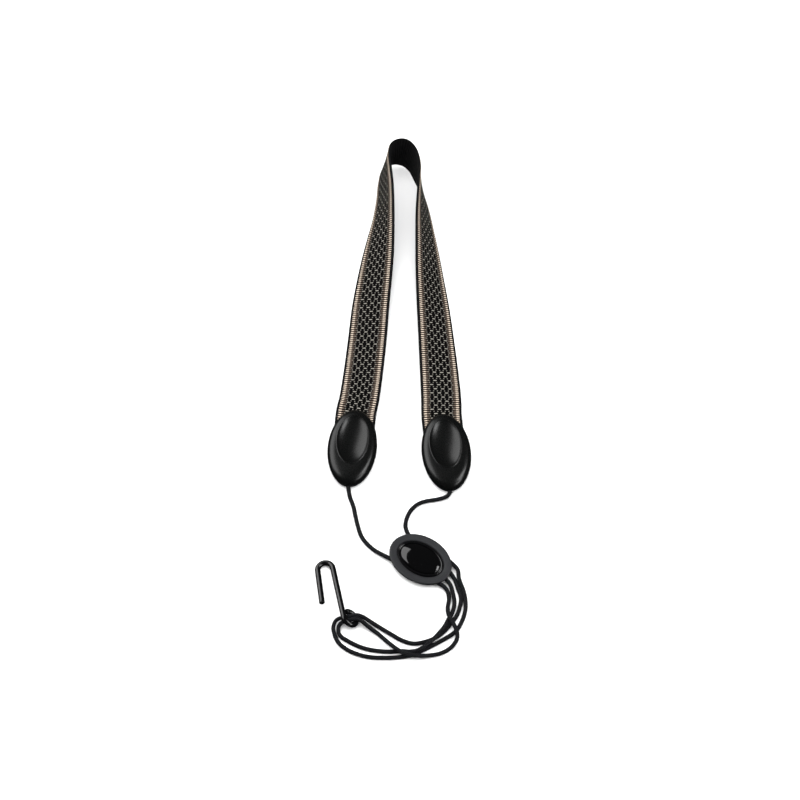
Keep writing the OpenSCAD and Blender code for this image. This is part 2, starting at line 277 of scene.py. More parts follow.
def ribbon_material():
    t = Tree("ribbon_jacquard")
    u, v = t.uv()
    x, y = t.m("MULTIPLY", u, 100.0), t.m("MULTIPLY", v, 100.0)
    ax = t.m("ABSOLUTE", x)
    q = t.m("DIVIDE", y, 2.16)
    k = t.m("FLOOR", q)
    fr = t.m("FRACT", q)
    light = t.m("POWER", t.m("MAXIMUM", t.m("SINE", t.m("MULTIPLY", fr, math.pi)), 0.0), 1.3)
    odd = t.m("MULTIPLY", t.m("FRACT", t.m("MULTIPLY", k, 0.5)), 2.0)  # 0 or 1
    row = t.m("FLOOR", t.m("MULTIPLY", k, 0.5))
    shift = t.m("MULTIPLY", t.m("FRACT", t.m("MULTIPLY", row, 0.5)), 1.0)  # 0 or 0.5
    n = t.noise(420, 3, 0.6, t.where())
    nb = t.noise(60, 2, 0.5, t.where())
    # tan edge stripe, and brown comb lines that fade inwards from it
    inner = t.m("MULTIPLY_ADD", odd, 1.4, 9.0)
    tan = t.ramp(ax, inner, 13.2)
    peak = t.mix(nb, (0.540, 0.440, 0.350), (0.680, 0.570, 0.465))
    edge = t.mix(t.ramp(light, 0.45, 0.98), (0.006, 0.0042, 0.0034), peak)
    brown = t.mix(t.ramp(light, 0.5, 1.0), (0.0006, 0.0005, 0.0005), (0.150, 0.115, 0.090))
    edge = t.mix(t.ramp(ax, 13.3, 14.3), brown, edge)
    # a net of dashes in the middle: bars on even ribs, linked by dots on the odd ribs
    P = 7.0
    fx = t.m("FRACT", t.m("ADD", t.m("DIVIDE", x, P), t.m("ADD", shift, 100.25)))
    bar = t.ramp(t.m("ABSOLUTE", t.m("SUBTRACT", fx, 0.5)), 0.255, 0.20)
    fd = t.m("FRACT", t.m("ADD", t.m("DIVIDE", x, P / 2), 100.5))
    dot = t.ramp(t.m("ABSOLUTE", t.m("SUBTRACT", fd, 0.5)), 0.185, 0.08)
    lattice = t.mix(odd, bar, t.m("MULTIPLY", dot, 0.5), kind="FLOAT")
    # on the odd ribs the dots stretch over more of the rib's height, so that they link the bars
    lattice = t.m("MULTIPLY", lattice, t.mix(odd, t.ramp(light, 0.55, 0.98), t.ramp(light, 0.25, 0.85), kind="FLOAT"))
    lattice = t.m("MULTIPLY", lattice, t.m("MULTIPLY_ADD", n, 0.9, 0.5), clamp=True)
    # painted shade: the black ground is darker in the valleys between the ribs and lighter on their crests
    ground_with_rib_shade = t.mix(t.m("MULTIPLY", light, n), (0.0002, 0.0002, 0.0002), (0.0020, 0.0018, 0.0017))
    mid = t.mix(lattice, ground_with_rib_shade, (0.285, 0.270, 0.238))
    col = t.mix(tan, mid, edge)
    fray = t.mix(t.m("MULTIPLY_ADD", n, 0.5, 0.0), (0.75, 0.75, 0.75), (1.15, 1.15, 1.15))
    col = t.mix(1.0, col, fray, blend="MULTIPLY")
    t.set(Base_Color=col, Roughness=t.m("MULTIPLY_ADD", n, 0.2, 0.7))
    t.set(Specular_IOR_Level=0.08)
    warp = t.m("SINE", t.m("MULTIPLY", t.m("ADD", x, t.m("MULTIPLY", k, 0.3)), 2 * math.pi / 0.6))
    t.bump(t.m("ADD", t.m("ADD", t.m("MULTIPLY", lattice, 0.5), t.m("MULTIPLY", warp, 0.08)), t.m("MULTIPLY", light, 0.5)), 0.6, 0.0003)
    return t.mat


def plastic(name, dark, lit, rough, grain, bump, spec=0.5, coat=0.0):
    t = Tree(name)
    n = t.noise(grain, 4, 0.6, t.where())
    big = t.noise(35, 2, 0.5, t.where())
    col = t.mix(t.m("MULTIPLY_ADD", n, 0.6, t.m("MULTIPLY", big, 0.4), clamp=True), dark, lit)
    t.set(Base_Color=col, Roughness=t.m("MULTIPLY_ADD", n, 0.08, rough), Specular_IOR_Level=spec)
    if coat:
        t.set(Coat_Weight=coat, Coat_Roughness=0.03)
    if bump:
        t.bump(n, bump, 0.00006)
    return t.mat


def flange_material():
    """Satin plastic with fine turned rings that follow the slider's oval."""
    t = Tree("flange_turned")
    s = t.t.nodes.new("ShaderNodeSeparateXYZ")
    t.t.links.new(t.where(), s.inputs[0])
    cx, cy, turn = (LAY[0] + 18.7) * MM, (LAY[1] - 168.9) * MM, math.radians(146.4)
    dx, dy = t.m("SUBTRACT", s.outputs[0], cx), t.m("SUBTRACT", s.outputs[1], cy)
    lx = t.m("ADD", t.m("MULTIPLY", dx, math.cos(turn)), t.m("MULTIPLY", dy, math.sin(turn)))
    ly = t.m("SUBTRACT", t.m("MULTIPLY", dy, math.cos(turn)), t.m("MULTIPLY", dx, math.sin(turn)))
    rx, ry = t.m("DIVIDE", lx, 0.0307), t.m("DIVIDE", ly, 0.0229)
    rho = t.m("SQRT", t.m("ADD", t.m("MULTIPLY", rx, rx), t.m("MULTIPLY", ry, ry)))
    ring = t.m("MULTIPLY_ADD", t.m("SINE", t.m("MULTIPLY", rho, 2 * math.pi * 23)), 0.5, 0.5)
    n = t.noise(1100, 4, 0.6, t.where())
    big = t.noise(60, 2, 0.5, t.where())
    fac = t.m("ADD", t.m("MULTIPLY", n, 0.45), t.m("ADD", t.m("MULTIPLY", ring, 0.4), t.m("MULTIPLY", big, 0.2)), clamp=True)
    # the wall under the top face is painted darker than the face, as painted shade on the side turned away from the
    # light; the face keeps the plastic's own grey
    top = t.ramp(s.outputs[2], 0.0066, 0.0084)
    wall_painted_shade = t.mix(fac, (0.0016, 0.0016, 0.0018), (0.0034, 0.0035, 0.0037))
    face = t.mix(fac, (0.0055, 0.0058, 0.0066), (0.0190, 0.0196, 0.0215))
    t.set(Base_Color=t.mix(top, wall_painted_shade, face), Roughness=t.m("MULTIPLY_ADD", n, 0.1, 0.36), Specular_IOR_Level=0.45)
    t.bump(t.m("ADD", t.m("MULTIPLY", n, 0.7), t.m("MULTIPLY", ring, 0.5)), 0.6, 0.00005)
    return t.mat


def core_material():
    """Plain braid for the ends of cord that stay inside."""
    t = Tree("cord_core")
    n = t.noise(1300, 4, 0.6, t.where())
    t.set(Base_Color=t.mix(n, (0.0016, 0.0017, 0.0021), (0.024, 0.025, 0.029)), Roughness=0.62, Specular_IOR_Level=0.28)
    t.bump(n, 0.7, 0.0003)
    return t.mat


def steel_material():
    t = Tree("steel")
    n = t.noise(500, 4, 0.6, t.where())
    col = t.mix(n, (0.42, 0.42, 0.43), (0.62, 0.62, 0.63))
    t.set(Base_Color=col, Metallic=1.0, Roughness=t.m("MULTIPLY_ADD", n, 0.15, 0.25))
    t.bump(n, 0.15, 0.00003)
    return t.mat


def thread_material():
    t = Tree("sewing_thread")
    n = t.noise(1500, 2, 0.5, t.where())
    t.set(Base_Color=t.mix(n, (0.006, 0.006, 0.007), (0.03, 0.029, 0.03)), Roughness=0.6)
    t.bump(n, 0.4, 0.0001)
    return t.mat


CORD = cord_material()
WEBBING = webbing_material()
RIBBON = ribbon_material()
SATIN = plastic("satin_black", (0.0010, 0.0011, 0.0011), (0.0022, 0.0024, 0.0023), 0.24, 1400, 0.22, 0.5)
GRAIN = plastic("satin_grained", (0.0030, 0.0031, 0.0033), (0.0062, 0.0063, 0.0066), 0.34, 900, 0.6, 0.42)
GLOSS = plastic("gloss_black", (0.0008, 0.0008, 0.0009), (0.0014, 0.0014, 0.0016), 0.03, 300, 0.0, 0.5, 0.3)
COAT = plastic("coated_wire", (0.0009, 0.0009, 0.0011), (0.0018, 0.0018, 0.0021), 0.12, 500, 0.12, 0.55, 0.25)
FLANGE = flange_material()
CORE = core_material()
STEEL = steel_material()
THREAD = thread_material()

# ---------------------------------------------------------------- cord
D = 4.0
LEFT_RUN = [[-48, -94, 5.2], [-46.5, -103, 3.6], [-43, -113, 2.2], [-41, -123, 2.1], [-39, -132, 2.1],
            [-36, -142, 2.1], [-31, -150, 2.1], [-24, -157, 2.3], [-16, -162.5, 3.4], [-9.1, -166.8, 4.4]]
RIGHT_RUN = [[47, -98.5, 5.2], [43, -103, 3.4], [34, -105.5, 2.2], [25, -107, 2.1], [17, -110, 2.1],
             [10.5, -116, 2.1], [6.5, -124, 2.1], [5, -132, 2.4], [6, -138, 3.6], [7.9, -142.8, 4.4]]
OUTER = [[46.2, -170.3, 4.4], [52.6, -178, 4.5], [54, -188, 4.6], [57.8, -198, 2.4], [59.6, -208, 2.1],
         [59.3, -218, 2.1], [56.4, -228, 2.1], [51, -238, 2.1], [42, -245, 2.1], [32, -251, 2.1],
         [21, -257, 2.1], [10, -262, 2.1], [-2, -264, 2.1], [-14, -264.5, 2.1], [-26, -264, 2.1],
         [-37, -261.5, 2.1], [-47, -257, 2.1], [-55, -250.5, 2.1], [-58.9, -243.3, 2.4]]
UPPER = [[45.1, -180.1, 4.4], [49.6, -186.5, 2.8], [52.6, -195, 2.1], [55.5, -205, 2.1], [54.5, -214, 2.1],
         [51.5, -223, 2.1], [46, -231, 2.1], [39.5, -239, 2.1], [32, -245, 2.1], [22, -249, 2.1],
         [12, -250.5, 2.1], [2, -247.5, 2.1], [-8, -241.5, 2.1], [-18, -235, 2.2], [-26, -230.5, 4.4],
         [-33.2, -226.5, 6.8]]
INNER = [[41.5, -187, 4.4], [46, -193, 3.2], [48.5, -202, 2.1], [49.5, -211, 2.1], [47.5, -220, 2.1],
         [43.5, -228, 3], [40, -236, 6.2], [33, -245, 6.4], [26, -252, 6.4], [18, -258, 6.2],
         [10, -259, 3.6], [2, -258, 2.1], [-10, -258.5, 2.1], [-22, -257.5, 2.1], [-33, -255, 2.1],
         [-43, -250.5, 2.1], [-51.7, -245.2, 2.1]]
LOWER = [[35.8, -191.9, 4.4], [40.4, -194.8, 3.4], [43.8, -200, 2.2], [44.6, -207, 2.1], [43.5, -215, 2.4],
         [44, -223, 6.2], [47.5, -231, 6.4], [51, -239, 6.4], [51.5, -247, 4.4], [46, -254.5, 2.1],
         [37, -260, 2.1], [26, -262.5, 2.6], [15, -264, 6], [4, -262, 6.4], [-4.5, -256.5, 6.2],
         [-12, -248.5, 2.6], [-20, -241, 2.3], [-28, -235.5, 4.6], [-34, -231, 6.8]]
BIGHT_A = [[-34, -226.2, 7], [-38.5, -225.3, 8.6], [-45, -225.8, 7.6], [-52, -226.6, 6], [-58, -229.2, 5.2],
           [-60.5, -235.5, 3.6], [-59.1, -242.7, 2.4]]
BIGHT_B = [[-34.8, -230.6, 7.2], [-39.3, -229.4, 9.6], [-46, -229.9, 7.9], [-52, -230.9, 5.8], [-55.5, -234.5, 3.8],
           [-55.5, -240.5, 2.2], [-52.2, -244.8, 2.1]]


def cord_tube(name, route, phase=0.0, d=D):
    """A braided cord along a route: the braid's diamonds stand out of its surface."""
    p = crom(np.array(route, float) + LAY, 24)
    # both ends run on a touch, so that neighbours meet
    reach = 0.5
    a, b = p[0] - p[1], p[-1] - p[-2]
    p = np.concatenate([[p[0] + a / np.linalg.norm(a) * reach], p, [p[-1] + b / np.linalg.norm(b) * reach]])
    line, s = even(p, 0.32)
    t = tangents(line)
    side = np.cross(t, [0, 0, 1.0])
    side /= np.linalg.norm(side, axis=1)[:, None]
    up = np.cross(side, t)
    n = 24
    th = np.arange(n) / n * 2 * math.pi
    pick = 1.9
    relief = np.cos(6 * th)[None, :] * np.cos(2 * math.pi * (s[:, None] + phase) / pick)
    r = d / 2 * (0.985 + 0.035 * relief)
    v = line[:, None, :] + r[..., None] * (np.cos(th)[None, :, None] * side[:, None, :] + np.sin(th)[None, :, None] * up[:, None, :])
    # one more column of vertices would be needed for a seamless uv, so the uv is written per loop below
    m = len(line)
    verts = np.concatenate([v.reshape(-1, 3), line[:1], line[-1:]])
    faces = loft_faces(m, n)
    c0, c1 = m * n, m * n + 1
    caps = [(c0, (k + 1) % n, k) for k in range(n)] + [(c1, (m - 1) * n + k, (m - 1) * n + (k + 1) % n) for k in range(n)]
    me = bpy.data.meshes.new(name)
    me.from_pydata((verts * MM).tolist(), [], faces + caps)
    uv = []
    for i in range(m - 1):
        a, b = (s[i] + phase) / pick, (s[i + 1] + phase) / pick
        for k in range(n):
            x0, x1 = k / n * 6, (k + 1) / n * 6
            uv += [x0, a, x1, a, x1, b, x0, b]
    uv += [0.25, 0.25] * (3 * len(caps))
    me.uv_layers.new(name="UVMap").data.foreach_set("uv", np.array(uv, np.float32))
    me.polygons.foreach_set("use_smooth", [True] * len(me.polygons))
    me.update()
    if me.polygons:
        # outward faces
        me.flip_normals() if signed_volume(verts, faces + caps) < 0 else None
    o = bpy.data.objects.new(name, me)
    scene.collection.objects.link(o)
    o.data.materials.append(CORD)
    return o, line[:: 4] if (m - 1) % 4 == 0 else np.concatenate([line[::4], line[-1:]])


def signed_volume(verts, faces):
    total = 0.0
    v = np.asarray(verts, float)
    for f in faces:
        a = v[f[0]]
        for i in range(1, len(f) - 1):
            total += float(np.dot(a, np.cross(v[f[i]], v[f[i + 1]])))
    return total / 6


cord_specs = [
    ("cord_left_run", LEFT_RUN, ("root", "slider"), "left_cord_run"),
    ("cord_right_run", RIGHT_RUN, ("root", "slider"), "right_cord_run"),
    ("cord_strand_outer", OUTER, ("slider", "hook_loops"), "strand_outer"),
    ("cord_strand_upper", UPPER, ("slider", "hook_loops"), "strand_upper"),
    ("cord_strand_inner", INNER, ("slider", "hook_loops"), "strand_inner"),
    ("cord_strand_lower", LOWER, ("slider", "hook_loops"), "strand_lower"),
    ("cord_bight_a", BIGHT_A, "hook_loops", "hook_bights"),
    ("cord_bight_b", BIGHT_B, "hook_loops", "hook_bights"),
]
for name, route, bodies, node in cord_specs:
    o, line = cord_tube(name, route, d=D - 0.2 if "bight" in name else D)
    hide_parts(node)
    if isinstance(bodies, tuple):
        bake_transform(o)
    else:
        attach(o, bodies)

# the stretches held inside the slider
def slider_mm(pts):
    return (np.array(pts, float) @ rot(146.4, "Z").T + np.array([18.7, -168.9, 0.0])).tolist()


turn_in = [[-27.5, -5.8, 4.4]] + [[-17 + 3.8 * math.cos(math.radians(a)), -2 + 3.8 * math.sin(math.radians(a)), 4.4] for a in range(-90, 91, 30)] + [[-27.5, 1.8, 4.4]]
held_specs = [
    ("cord_pass_left", [[23.9, 13.58, 4.4], [8, 12.37, 4.4], [-8, 11.15, 4.4], [-26.6, 9.73, 4.4]], "left_cord_pass"),
    ("cord_pass_right", [[23.9, -14, 4.4], [8, -14, 4.4], [-8, -14, 4.4], [-23.6, -14, 4.4]], "right_cord_pass"),
    ("cord_pin_turn", turn_in, "slider_bight"),
]
for name, route, node in held_specs:
    o, line = cord_tube(name, slider_mm(route))
    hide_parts(node)
    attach(o, "slider")

# ---------------------------------------------------------------- band
BAND = [[-43.9, -48, 6.2, 0], [-42.5, -32, 6.2, 0], [-41, -16, 6.2, 0], [-38, 0, 6, 4], [-34.5, 28, 5.5, 8],
        [-31, 62, 6.5, 12], [-28, 96, 9, 18], [-24.5, 124, 12, 26], [-21.5, 147, 14.5, 34], [-18.6, 170, 17, 45],
        [-16, 192, 19.5, 56], [-14.6, 214, 22, 64], [-14.6, 232, 23.5, 70], [-13.6, 248, 24, 79], [-8, 259.5, 23.2, 92],
        [3, 261.6, 22.5, 102], [12, 254, 21.2, 101], [17, 240, 20.5, 96], [20.2, 222, 20.2, 83], [22, 205, 20, 73],
        [23.5, 186, 19, 64], [26, 158, 17, 54], [28.5, 128, 14.5, 44], [31.5, 96, 12, 34], [34.5, 60, 9.2, 25],
        [37, 26, 7.4, 15], [38.6, 0, 6.4, 6], [39, -20, 6.2, 0], [40.4, -36, 6.2, 0], [41.8, -52, 6.2, 0]]
PITCH = 2.16


def band_frames(step):
    q = crom(np.array(BAND, float) + np.array([*LAY, 0.0]), 30)
    line, s = even(q, step)
    t = tangents(line)
    side = np.cross(t, [0, 0, 1.0])
    side /= np.linalg.norm(side, axis=1)[:, None]
    up = np.cross(side, t)
    a = np.radians(line[:, 3])[:, None]
    wd = np.cos(a) * side + np.sin(a) * up
    return line[:, :3], s, wd, np.cross(wd, t), t


def strip(name, section, relief, step):
    """A strip along the band. section is a closed list of (across, height); relief gives each point's share of the rib height."""
    c, s, wd, nn, _ = band_frames(step)
    sec = np.array(section, float)
    n, m = len(sec), len(c)
    rib = np.cos(2 * math.pi * (s / PITCH - 0.5))
    h = sec[None, :, 1] + np.array(relief)[None, :] * rib[:, None]
    v = c[:, None, :] + sec[None, :, 0, None] * wd[:, None, :] + h[..., None] * nn[:, None, :]
    faces = loft_faces(m, n)
    faces.append(tuple(range(n - 1, -1, -1)))
    faces.append(tuple((m - 1) * n + k for k in range(n)))
    uv = np.stack([np.broadcast_to(sec[:, 0][None, :], (m, n)), np.broadcast_to(s[:, None], (m, n))], -1).reshape(-1, 2) / 100
    verts = v.reshape(-1, 3)
    if signed_volume(verts, faces) < 0:
        faces = [tuple(reversed(f)) for f in faces]
    return make(name, verts, faces, uv), s[-1]


def rect_section(w, lo, hi, cols, edge, rib_lo, rib_hi):
    """A flat section with rounded edges, and each point's rib height on its lower and upper side."""
    sec, rel = [], []
    x = np.linspace(-w / 2 + edge, w / 2 - edge, cols)
    for v in x:
        sec.append((v, lo))
        rel.append(-rib_lo)
    mid, hh = (lo + hi) / 2, (hi - lo) / 2
    for a in (-60, -30, 0, 30, 60):
        sec.append((w / 2 - edge + edge * math.cos(math.radians(a)), mid + hh * math.sin(math.radians(a))))
        rel.append(0.0)
    for v in x[::-1]:
        sec.append((v, hi))
        rel.append(rib_hi)
    for a in (120, 150, 180, 210, 240):
        sec.append((-w / 2 + edge + edge * math.cos(math.radians(a)), mid + hh * math.sin(math.radians(a))))
        rel.append(0.0)
    return sec, rel


STEP = 0.432
sec, rel = rect_section(38, -0.84, 0.84, 16, 0.8, 0.09, 0.06)
webbing, band_len = strip("webbing_band", sec, rel, STEP)
finish_piece(webbing, "root", ("strap_webbing",), WEBBING)
sec, rel = rect_section(33.2, 0.96, 1.52, 24, 0.3, 0.0, 0.12)
ribbon, _ = strip("jacquard_ribbon", sec, rel, STEP)
finish_piece(ribbon, "root", ("strap_ribbon",), RIBBON)


def stitch_rows(name, offsets, every, length, r):
    """Short raised stitches along the band."""
    c, s, wd, nn, tt = band_frames(0.5)
    verts, faces = [], []
    sides = 6
    for off in offsets:
        x = 12.0
        while x < s[-1] - 12:
            base = len(verts)
            prof = [(0.0, 0.35, -0.25), (0.18, 0.8, 0.05), (0.5, 1.0, 0.16), (0.82, 0.8, 0.05), (1.0, 0.35, -0.25)]
            for f, rr, lift in prof:
                q = x + f * length
                cc = np.array([np.interp(q, s, c[:, k]) for k in range(3)])
                w = np.array([np.interp(q, s, wd[:, k]) for k in range(3)])
                nv = np.array([np.interp(q, s, nn[:, k]) for k in range(3)])
                w /= np.linalg.norm(w)
                nv /= np.linalg.norm(nv)
                ctr = cc + off * w + (1.48 + lift) * nv
                for k in range(sides):
                    a = 2 * math.pi * k / sides
                    verts.append(ctr + r * rr * (math.cos(a) * w + math.sin(a) * nv))
            one = loft_faces(len(prof), sides, base)
            one.append(tuple(base + k for k in range(sides - 1, -1, -1)))
            one.append(tuple(base + (len(prof) - 1) * sides + k for k in range(sides)))
            faces += one
            x += every
    verts = np.array(verts)
    if signed_volume(verts, faces) < 0:
        faces = [tuple(reversed(f)) for f in faces]
    return make(name, verts, faces)


stitches = stitch_rows("ribbon_stitches", (-16.1, 16.1), 3.24, 2.5, 0.22)
finish_piece(stitches, "root", (), THREAD)

# ---------------------------------------------------------------- grips
LEFT_AT, RIGHT_AT, SLIDER_AT = (-44.5, -54.3, 84.7), (43.1, -58.8, 96.0), (18.7, -168.9, 146.4)
GA, GB = 39.5, 23.0  # semi-axes of the grip's outline
DOME = crom([[0, 14.6], [20, 14.5], [29, 14.25], [34, 13.35], [37.2, 11.6], [38.9, 9.4], [39.5, 7.3]], 20)
SC = (5.6, 0.0, 16.2)
SA, SB, SD = 25.9, 15.2, 6.2


def dome_z(x, y):
    rho = math.hypot(x / GA, y / GB)
    return float(np.interp(rho * 39.5, DOME[:, 0], DOME[:, 1]))


def scoop_z(x, y):
    q = 1 - ((x - SC[0]) / SA) ** 2 - (y / SB) ** 2
    return SC[2] - SD * math.sqrt(max(q, 0.0)) if q > 0 else 99.0


def grip_top_mesh():
    n = 128
    verts, rings = [], 0
    th = [2 * math.pi * k / n for k in range(n)]
    rim = []
    for a in th:
        ca, sa = math.cos(a), math.sin(a)
        lo, hi = 0.0, 1.0
        for _ in range(40):
            mid = (lo + hi) / 2
            x, y = SC[0] + SA * mid * ca, SB * mid * sa
            if scoop_z(x, y) < dome_z(x, y):
                lo = mid
            else:
                hi = mid
        rim.append(lo)
    rim = np.array(rim)
    # bottom of the scoop outwards to its rim
    for f in (0.06, 0.14, 0.24, 0.34, 0.44, 0.54, 0.63, 0.71, 0.78, 0.84, 0.89, 0.93, 0.96, 0.982):
        for k, a in enumerate(th):
            x, y = SC[0] + SA * rim[k] * f * math.cos(a), SB * rim[k] * f * math.sin(a)
            verts.append((x, y, scoop_z(x, y)))
        rings += 1
    # a thin raised bead round the rim
    for d, lift in ((0.0, -0.06), (0.12, 0.12), (0.32, 0.24), (0.55, 0.26), (0.78, 0.16), (0.98, 0.02), (1.15, 0.0)):
        for k, a in enumerate(th):
            px, py = SC[0] + SA * rim[k] * math.cos(a), SB * rim[k] * math.sin(a)
            ox, oy = GA * math.cos(a) - px, GB * math.sin(a) - py
            g = d / math.hypot(ox, oy)
            x, y = px + ox * g, py + oy * g
            verts.append((x, y, dome_z(x, y) + lift))
        rings += 1
    # the dome from the bead out to the widest line
    for s in (0.04, 0.10, 0.2, 0.32, 0.45, 0.58, 0.70, 0.80, 0.87, 0.925, 0.96, 0.985, 1.0):
        for k, a in enumerate(th):
            px, py = SC[0] + SA * rim[k] * math.cos(a), SB * rim[k] * math.sin(a)
            ox, oy = GA * math.cos(a) - px, GB * math.sin(a) - py
            g = 1.15 / math.hypot(ox, oy)
            g += (1 - g) * s
            x, y = px + ox * g, py + oy * g
            verts.append((x, y, dome_z(x, y)))
        rings += 1
    # below the widest line, in to the parting line and closed underneath
    for k_in, z in ((0.02, 6.7), (0.12, 6.0), (0.3, 5.45), (0.55, 5.28)):
        for a in th:
            verts.append(((GA - k_in) * math.cos(a), (GB - k_in) * math.sin(a), z))
        rings += 1
    faces = loft_faces(rings, n)
    verts.append((SC[0], 0, scoop_z(SC[0], 0)))
    c = len(verts) - 1
    faces += [(c, (k + 1) % n, k) for k in range(n)]
    faces.append(tuple((rings - 1) * n + k for k in range(n - 1, -1, -1)))
    return np.array(verts), faces


def fix_normals(verts, faces):
    return faces if signed_volume(verts, faces) > 0 else [tuple(reversed(f)) for f in faces]


def grip_back_mesh():
    n = 128
    verts, rings = [], 0
    for k_in, z in ((0.75, 5.16), (0.5, 4.95), (0.42, 4.3), (0.6, 3.3), (1.1, 2.2), (1.9, 1.25), (2.9, 0.55), (3.9, 0.15), (5.0, 0.0)):
        for k in range(n):
            a = 2 * math.pi * k / n
            verts.append(((GA - k_in) * math.cos(a), (GB - k_in) * math.sin(a), z))
        rings += 1
    faces = loft_faces(rings, n)
    faces.append(tuple(range(n - 1, -1, -1)))
    faces.append(tuple((rings - 1) * n + k for k in range(n)))
    return np.array(verts), faces


def cylinder(r, z0, z1, centre, axis="Z", n=32):
    """A closed cylinder as (verts, faces) in mm, from z0 to z1 along its axis."""
    ring = [(r * math.cos(2 * math.pi * k / n), r * math.sin(2 * math.pi * k / n)) for k in range(n)]
    v = [(x, y, z) for z in (z0, z1) for x, y in ring]
    v = np.array(v)
    if axis == "X":
        v = v[:, [2, 0, 1]]
    v = v + np.array(centre, float)
    f = [(k, (k + 1) % n, n + (k + 1) % n, n + k) for k in range(n)] + [tuple(range(n - 1, -1, -1)), tuple(range(n, 2 * n))]
    return v, fix_normals(v, f)


def block(lo, hi):
    x0, y0, z0 = lo
    x1, y1, z1 = hi
    v = np.array([(x0, y0, z0), (x1, y0, z0), (x1, y1, z0), (x0, y1, z0), (x0, y0, z1), (x1, y0, z1), (x1, y1, z1), (x0, y1, z1)], float)
    return v, [(3, 2, 1, 0), (4, 5, 6, 7), (0, 1, 5, 4), (1, 2, 6, 5), (2, 3, 7, 6), (3, 0, 4, 7)]


def oval_prism(a, b, z0, z1, n=96, cut_x=None):
    ring = [(a * math.cos(2 * math.pi * k / n), b * math.sin(2 * math.pi * k / n)) for k in range(n)]
    if cut_x is not None:
        ring = [(min(x, cut_x), y) for x, y in ring]
        # drop repeats on the straight side
        keep = [p for i, p in enumerate(ring) if not (p[0] == cut_x and ring[i - 1][0] == cut_x and ring[(i + 1) % n][0] == cut_x)]
        ring = keep
    m = len(ring)
    v = np.array([(x, y, z) for z in (z0, z1) for x, y in ring])
    f = [(k, (k + 1) % m, m + (k + 1) % m, m + k) for k in range(m)] + [tuple(range(m - 1, -1, -1)), tuple(range(m, 2 * m))]
    return v, fix_normals(v, f)


def cut(o, tools, union=False):
    """Takes closed shapes out of a mesh object (or adds them), in place."""
    for v, f in tools:
        t = make("cutter", v, f, smooth=False)
        md = o.modifiers.new("cut", "BOOLEAN")
        md.operation = "UNION" if union else "DIFFERENCE"
        md.solver = "EXACT"
        md.object = t
        bpy.context.view_layer.update()
        dg = bpy.context.evaluated_depsgraph_get()
        me = bpy.data.meshes.new_from_object(o.evaluated_get(dg))
        o.modifiers.clear()
        old = o.data
        o.data = me
        bpy.data.meshes.remove(old)
        td = t.data
        bpy.data.objects.remove(t)
        bpy.data.meshes.remove(td)


def moved(o, place):
    """Takes a mesh made in a local frame to its place on the table, in its vertices."""
    co = np.zeros(len(o.data.vertices) * 3)
    o.data.vertices.foreach_get("co", co)
    pts = at(place, co.reshape(-1, 3) / MM) * MM
    o.data.vertices.foreach_set("co", pts.ravel())
    o.data.update()
    return o


def shade(o, angle=40):
    """Smooth, with edges sharper than the angle kept crisp."""
    me = o.data
    me.polygons.foreach_set("use_smooth", [True] * len(me.polygons))
    me.set_sharp_from_angle(angle=math.radians(angle))


top_v, top_f = grip_top_mesh()
top = make("grip_top_left_cover", top_v, fix_normals(top_v, top_f))
bosses = [(-12, 11), (-12, -11)]
top_cuts = [
    block((5.8, -25, 3), (45, 25, 8.0)),
    cylinder(2.3, -41, -25, (0, 0, 5.2), "X"),
]
top_cuts += [cylinder(1.3, 3, 10.2, (x, y, 0)) for x, y in bosses]
cut(top, top_cuts)
shade(top, 35)
back_v, back_f = grip_back_mesh()
back = make("grip_back_left_shell", back_v, fix_normals(back_v, back_f))
hollow_v, hollow_f = oval_prism(33.5, 17.0, 1.6, 8, cut_x=4.0)
back_cuts = [
    (hollow_v, hollow_f),
    block((8, -17.6, 3), (14, 17.6, 8)),
    cylinder(2.3, -41, -25, (0, 0, 5.2), "X"),
]
cut(back, back_cuts)
cut(back, [cylinder(3.2, 1.0, 5.14, (x, y, 0)) for x, y in bosses], union=True)
cut(back, [cylinder(1.5, -1, 8, (x, y, 0)) for x, y in bosses] + [cylinder(2.6, -1, 1.6, (x, y, 0)) for x, y in bosses])
shade(back, 35)
for side, place, src in (("right", RIGHT_AT, (top, back)), ("left", LEFT_AT, (top, back))):
    made = []
    for o, nm in zip(src, ("grip_cover_", "grip_shell_")):
        c = bpy.data.objects.new(nm + side, o.data.copy())
        scene.collection.objects.link(c)
        moved(c, place)
        made.append(c)
    finish_piece(made[0], "root", (side + "_grip_top",), SATIN)
    finish_piece(made[1], "root", (side + "_grip_back",), SATIN)
for o in (top, back):
    d = o.data
    bpy.data.objects.remove(o)
    bpy.data.meshes.remove(d)

# ---------------------------------------------------------------- slider
SLA, SLB = 30.7, 22.9


def ring_loft(name, prof, close=True, n=144, la=SLA, lb=SLB):
    """A loft of ovals: prof is a list of (inset, height), from the outside in; the ends are closed with flat faces."""
    verts = []
    for k_in, z in prof:
        for k in range(n):
            a = 2 * math.pi * k / n
            verts.append(((la - k_in) * math.cos(a), (lb - k_in) * math.sin(a), z))
    m = len(prof)
    faces = loft_faces(m, n)
    if close == "ring":
        faces += [((m - 1) * n + k, (m - 1) * n + (k + 1) % n, (k + 1) % n, k) for k in range(n)]
    else:
        faces.append(tuple(range(n - 1, -1, -1)))
        faces.append(tuple((m - 1) * n + k for k in range(n)))
    v = np.array(verts)
    return make(name, v, fix_normals(v, faces))


